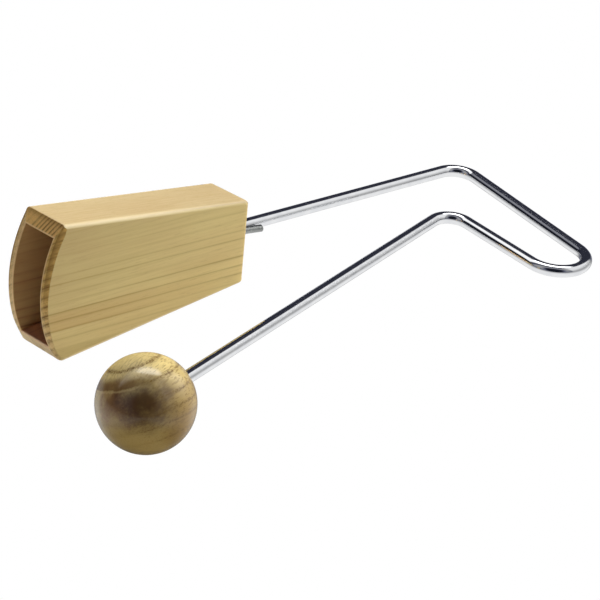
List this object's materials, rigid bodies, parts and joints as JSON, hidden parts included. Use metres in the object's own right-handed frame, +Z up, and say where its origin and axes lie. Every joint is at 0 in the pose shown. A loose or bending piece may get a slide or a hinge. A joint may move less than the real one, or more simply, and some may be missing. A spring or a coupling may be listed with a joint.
{
  "type": "vibraslap",
  "caption": "Hand percussion instrument: a bent chromed spring rod joins a turned wooden striking ball to a tapered, open-mouthed wooden box with a plate of loose rattling rivets inside.",
  "frame": {"origin": "on the floor under the middle of the whole object's box", "axes": "+X along the sound box from its mouth towards the handle, +Y from the ball's side to the box's side, +Z up; the object lies on the box's bottom wall, the ball and the handle's rounded end"},
  "size_m": [0.352, 0.1542, 0.0777],
  "materials": {
    "box_wood": "pale tan open-pored wood, satin lacquer",
    "block_wood": "plain unlacquered wood",
    "ball_wood": "ring-porous wood, gloss lacquer",
    "chrome": "bright chrome plate",
    "steel": "plain steel"
  },
  "bodies": {
    "frame": {"front_wall": "box_wood", "back_wall": "box_wood", "top_wall": "box_wood", "bottom_wall": "box_wood", "end_block": "block_wood", "spring_rod": "chrome", "rattle_stem": "steel", "rattle_plate": "steel", "plate_rivet_1": "steel", "plate_rivet_2": "steel"},
    "ball": {"striking_ball": "ball_wood"},
    "rivet_01": {"loose_rivet_01": "steel"},
    "rivet_02": {"loose_rivet_02": "steel"},
    "rivet_03": {"loose_rivet_03": "steel"},
    "rivet_04": {"loose_rivet_04": "steel"},
    "rivet_05": {"loose_rivet_05": "steel"},
    "rivet_06": {"loose_rivet_06": "steel"},
    "rivet_07": {"loose_rivet_07": "steel"},
    "rivet_08": {"loose_rivet_08": "steel"},
    "rivet_09": {"loose_rivet_09": "steel"},
    "rivet_10": {"loose_rivet_10": "steel"}
  },
  "joints": [
    {"name": "rod_flex", "type": "hinge", "parent": "frame", "child": "ball", "pos_m": [0.1749, 0.05127, 0.00962], "axis": [0, 0, 1], "range_deg": [-3, 3], "stiffness_Nm_per_rad": 80, "deforming": ["spring_rod"]},
    {"name": "rivet_01_slide", "type": "slide", "parent": "frame", "child": "rivet_01", "axis": [0, 1, 0], "range_m": [-0.0028, 0.0028]},
    {"name": "rivet_02_slide", "type": "slide", "parent": "frame", "child": "rivet_02", "axis": [0, 1, 0], "range_m": [-0.0028, 0.0028]},
    {"name": "rivet_03_slide", "type": "slide", "parent": "frame", "child": "rivet_03", "axis": [0, 1, 0], "range_m": [-0.0028, 0.0028]},
    {"name": "rivet_04_slide", "type": "slide", "parent": "frame", "child": "rivet_04", "axis": [0, 1, 0], "range_m": [-0.0028, 0.0028]},
    {"name": "rivet_05_slide", "type": "slide", "parent": "frame", "child": "rivet_05", "axis": [0, 1, 0], "range_m": [-0.0028, 0.0028]},
    {"name": "rivet_06_slide", "type": "slide", "parent": "frame", "child": "rivet_06", "axis": [0, 1, 0], "range_m": [-0.0028, 0.0028]},
    {"name": "rivet_07_slide", "type": "slide", "parent": "frame", "child": "rivet_07", "axis": [0, 1, 0], "range_m": [-0.0028, 0.0028]},
    {"name": "rivet_08_slide", "type": "slide", "parent": "frame", "child": "rivet_08", "axis": [0, 1, 0], "range_m": [-0.0028, 0.0028]},
    {"name": "rivet_09_slide", "type": "slide", "parent": "frame", "child": "rivet_09", "axis": [0, 1, 0], "range_m": [-0.0028, 0.0028]},
    {"name": "rivet_10_slide", "type": "slide", "parent": "frame", "child": "rivet_10", "axis": [0, 1, 0], "range_m": [-0.0028, 0.0028]}
  ]
}
